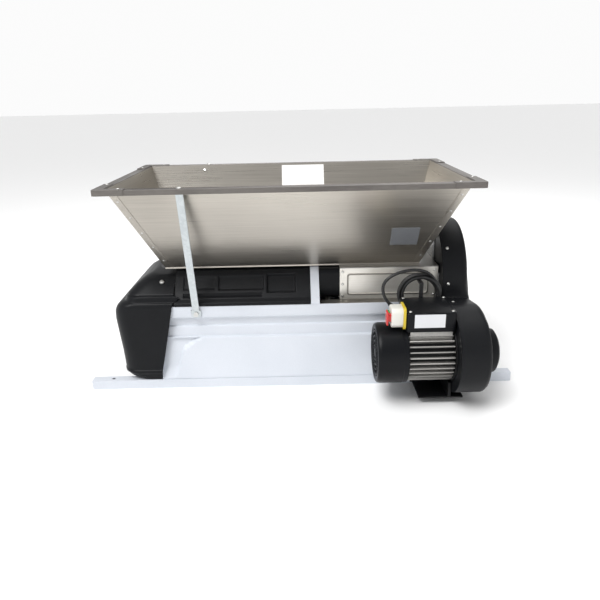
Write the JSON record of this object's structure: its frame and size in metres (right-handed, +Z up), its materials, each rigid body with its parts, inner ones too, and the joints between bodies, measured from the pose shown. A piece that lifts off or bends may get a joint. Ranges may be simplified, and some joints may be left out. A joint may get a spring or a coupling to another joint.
{
  "type": "grape crusher destemmer",
  "caption": "Motor-driven grape crusher and destemmer: hopper with feed auger over lobed rollers, and a paddle beater in a perforated drum on two carrying rails.",
  "frame": {"origin": "middle of the machine's outline in plan, at the underside of the rails", "axes": "+X along the rails to the belt guard, +Z up, -Y is the motor side"},
  "size_m": [1.12, 0.617, 0.542],
  "materials": {
    "white_paint": "gloss",
    "grey_plug": "satin",
    "stainless": "brushed",
    "galvanised": "dull",
    "black_plastic": "satin",
    "black_paint": "satin",
    "cover_plate": "satin",
    "cast_alloy": "cast",
    "steel": "turned",
    "bearing": "satin",
    "screw_steel": "bright",
    "roller_alloy": "machined",
    "paddle_steel": "satin",
    "label_white": "satin",
    "sticker": "satin",
    "switch_yellow": "satin",
    "switch_ivory": "satin",
    "button_red": "gloss",
    "button_green": "gloss",
    "black_rubber": "satin",
    "belt_rubber": "matte"
  },
  "bodies": {
    "machine": {"rails": "white_paint", "rail_end_plugs": "grey_plug", "front_side_panel": "white_paint", "rear_side_panel": "white_paint", "stem_end_plate": "white_paint", "drive_end_plate": "cover_plate", "perforated_drum": "stainless", "trough_bridges": "white_paint", "stem_chute_cover": "black_plastic", "drum_top_cover": "black_plastic", "roller_bearing_cover": "black_plastic", "roller_box_inner_plate": "stainless", "roller_box_covers": "stainless", "roller_box_top": "stainless", "hopper_floor_pan": "stainless", "hopper_front_wall": "stainless", "hopper_rear_wall": "stainless", "hopper_left_wall": "stainless", "hopper_right_wall": "stainless", "hopper_corner_plates": "galvanised", "hopper_struts": "galvanised", "hopper_fasteners": "screw_steel", "hopper_sticker": "sticker", "blank_plates": "label_white", "shaft_bearings": "bearing", "panel_screws": "screw_steel", "guard_back_plate": "black_paint", "guard_cover": "black_plastic", "motor_bracket": "black_paint", "motor_stator": "cast_alloy", "motor_end_shields": "black_paint", "fan_cowl": "black_plastic", "terminal_box": "black_plastic", "switch_base": "switch_yellow", "switch_housing": "switch_ivory", "cable_gland": "black_rubber", "mains_lead": "black_rubber", "mains_coil": "black_rubber", "hook_and_tie": "black_plastic", "mains_plug": "black_rubber", "drive_belt": "belt_rubber", "auger_chain": "steel"},
    "beater": {"beater_shaft": "steel", "beater_paddles": "paddle_steel", "large_pulley": "cast_alloy", "beater_pinion": "steel"},
    "front_crusher_roller": {"front_roller": "roller_alloy", "front_roller_shaft": "steel", "front_roller_gears": "steel"},
    "rear_crusher_roller": {"rear_roller": "roller_alloy", "rear_roller_shaft": "steel", "rear_roller_gear": "steel"},
    "feed_auger": {"auger_shaft": "steel", "auger_flight": "stainless", "auger_sprocket": "steel"},
    "motor_armature": {"motor_rotor": "steel", "motor_fan": "black_plastic", "motor_pulley": "cast_alloy"},
    "stop_flap": {"stop_button": "button_red"},
    "start_key": {"start_button": "button_green"}
  },
  "joints": [
    {"name": "beater_spin", "type": "hinge", "parent": "machine", "child": "beater", "pos_m": [0, 0.0585, 0.135], "axis": [1, 0, 0], "continuous": true},
    {"name": "motor_spin", "type": "hinge", "parent": "machine", "child": "motor_armature", "pos_m": [0, -0.2065, 0.13], "axis": [1, 0, 0], "continuous": true},
    {"name": "front_roller_spin", "type": "hinge", "parent": "machine", "child": "front_crusher_roller", "pos_m": [0, 0.0225, 0.26407], "axis": [1, 0, 0], "continuous": true},
    {"name": "rear_roller_spin", "type": "hinge", "parent": "machine", "child": "rear_crusher_roller", "pos_m": [0, 0.0945, 0.26407], "axis": [1, 0, 0], "continuous": true},
    {"name": "auger_spin", "type": "hinge", "parent": "machine", "child": "feed_auger", "pos_m": [0, 0.0585, 0.368], "axis": [1, 0, 0], "continuous": true},
    {"name": "stop_press", "type": "slide", "parent": "machine", "child": "stop_flap", "axis": [1, 0, 0], "range_m": [0, 0.004], "stiffness_N_per_m": 400},
    {"name": "start_press", "type": "slide", "parent": "machine", "child": "start_key", "axis": [1, 0, 0], "range_m": [0, 0.004], "stiffness_N_per_m": 400}
  ],
  "couplings": [
    {"joint": "motor_spin", "follows": "beater_spin", "ratio": 3.4286},
    {"joint": "front_roller_spin", "follows": "beater_spin", "ratio": -0.34},
    {"joint": "rear_roller_spin", "follows": "beater_spin", "ratio": 0.34},
    {"joint": "auger_spin", "follows": "beater_spin", "ratio": -0.20923}
  ]
}
